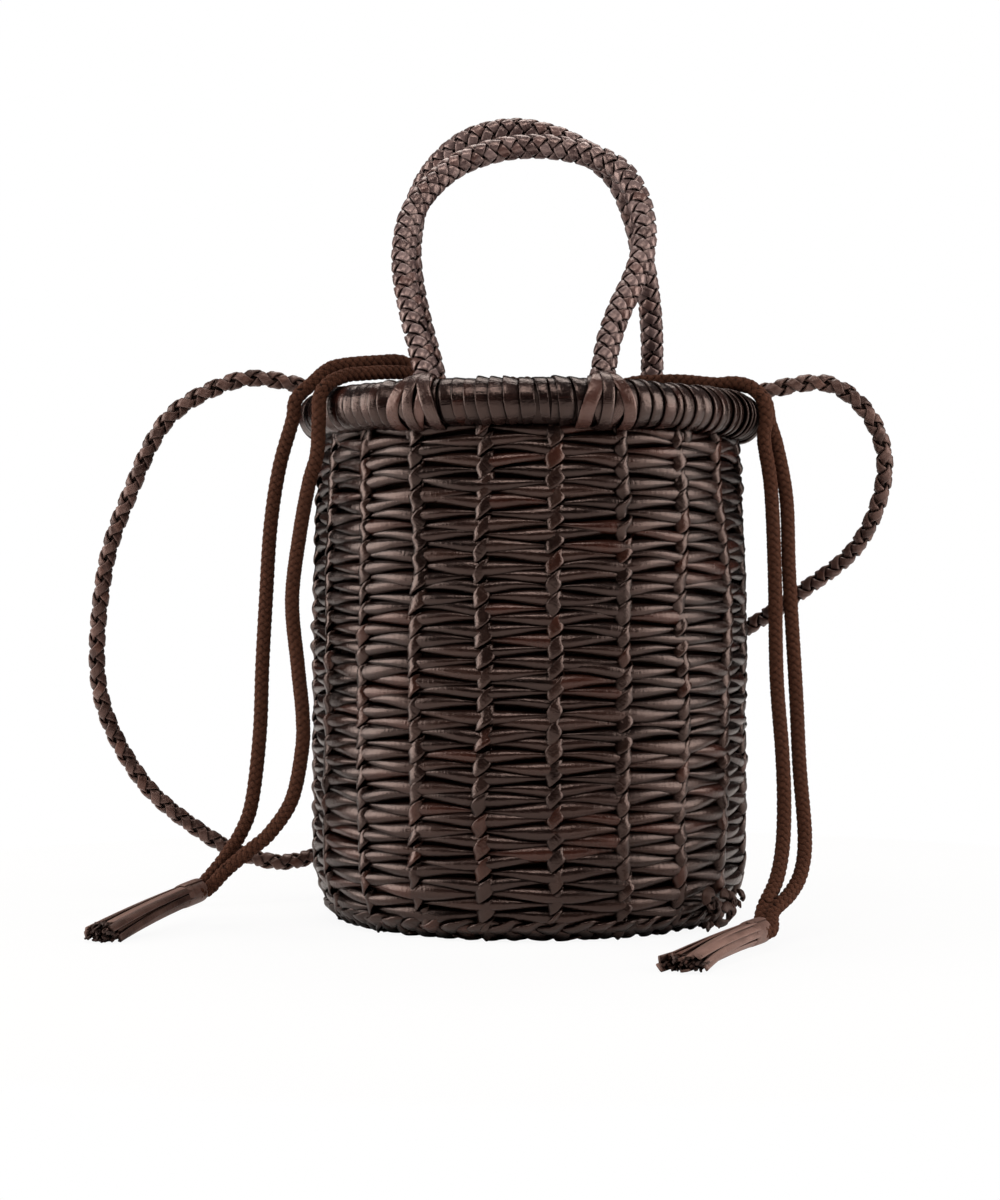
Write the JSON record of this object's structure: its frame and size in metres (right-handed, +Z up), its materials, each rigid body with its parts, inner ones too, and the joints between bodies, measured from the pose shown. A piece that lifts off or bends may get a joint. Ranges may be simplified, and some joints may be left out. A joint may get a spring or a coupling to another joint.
{
  "type": "bucket bag",
  "caption": "Round bucket bag of twined leather strips with a wrapped rim, two braided handles, a braided shoulder strap and a drawstring lining with tasselled cords.",
  "frame": {"origin": "centre of the base's underside, on the floor", "axes": "+Z up through the bag's axis, -Y towards the front handle, +X towards the right strap anchor"},
  "size_m": [0.365, 0.2767, 0.3587],
  "materials": {
    "leather_weave": "woven, waxed, softly glossy",
    "leather_braid": "braided, satin with worn highlights",
    "leather_edge": "raw cut edges, matt",
    "cord_textile": "plaited textile cord, matt",
    "lining": "plain cotton lining, matt"
  },
  "bodies": {
    "bag": {"base_weave": "leather_weave", "base_border": "leather_weave", "border_end_knot": "leather_edge", "wall_weft": "leather_weave", "wall_twining": "leather_braid", "rim_core": "leather_edge", "rim_wrap": "leather_braid", "front_handle_lashings": "leather_braid", "rear_handle_lashings": "leather_braid", "strap_anchor_left": "leather_braid", "strap_anchor_right": "leather_braid", "liner_base": "lining", "liner_pouch": "lining", "liner_collar": "lining", "left_drawcord_rim_run": "cord_textile", "right_drawcord_rim_run": "cord_textile"},
    "pouch_neck": {"liner_neck_hem": "lining", "left_drawcord_loop": "cord_textile", "right_drawcord_loop": "cord_textile"},
    "front_handle": {"front_handle_braid": "leather_braid", "front_handle_core": "leather_edge"},
    "rear_handle": {"rear_handle_braid": "leather_braid", "rear_handle_core": "leather_edge"},
    "strap": {"shoulder_strap_braid": "leather_braid", "shoulder_strap_core": "leather_edge"},
    "left_cords": {"left_drawcord_tails": "cord_textile"},
    "right_cords": {"right_drawcord_tails": "cord_textile"},
    "left_tassel": {"left_tassel_band": "leather_braid", "left_tassel_fringe": "leather_edge", "left_tassel_core": "cord_textile"},
    "right_tassel": {"right_tassel_band": "leather_braid", "right_tassel_fringe": "leather_edge", "right_tassel_core": "cord_textile"}
  },
  "joints": [
    {"name": "front_handle_fold", "type": "hinge", "parent": "bag", "child": "front_handle", "pos_m": [0, -0.0846, 0.2215], "axis": [1, 0, 0], "range_deg": [0, 115]},
    {"name": "rear_handle_fold", "type": "hinge", "parent": "bag", "child": "rear_handle", "pos_m": [0, 0.07726, 0.2215], "axis": [-1, 0, 0], "range_deg": [0, 112]},
    {"name": "strap_swing", "type": "hinge", "parent": "bag", "child": "strap", "pos_m": [0, 0, 0.2355], "axis": [0.9998, 0, -0.0191], "range_deg": [0, 150]},
    {"name": "left_drawcord_swing", "type": "hinge", "parent": "bag", "child": "left_cords", "pos_m": [-0.07778, -0.03302, 0.2447], "axis": [-0.3907, 0.9205, 0], "range_deg": [0, 60]},
    {"name": "right_drawcord_swing", "type": "hinge", "parent": "bag", "child": "right_cords", "pos_m": [0.08346, -0.01322, 0.2385], "axis": [-0.1564, -0.9877, 0], "range_deg": [0, 60]},
    {"name": "left_tassel_swing", "type": "hinge", "parent": "left_cords", "child": "left_tassel", "pos_m": [-0.142, -0.0385, 0.0145], "axis": [-0.9088, 0.4172, 0], "range_deg": [-35, 35]},
    {"name": "right_tassel_swing", "type": "hinge", "parent": "right_cords", "child": "right_tassel", "pos_m": [0.1, -0.102, 0.0082], "axis": [-0.8888, 0.4583, 0], "range_deg": [-35, 35]},
    {"name": "pouch_neck_lift", "type": "slide", "parent": "bag", "child": "pouch_neck", "axis": [0, 0, 1], "range_m": [-0.038, 0.027]}
  ]
}
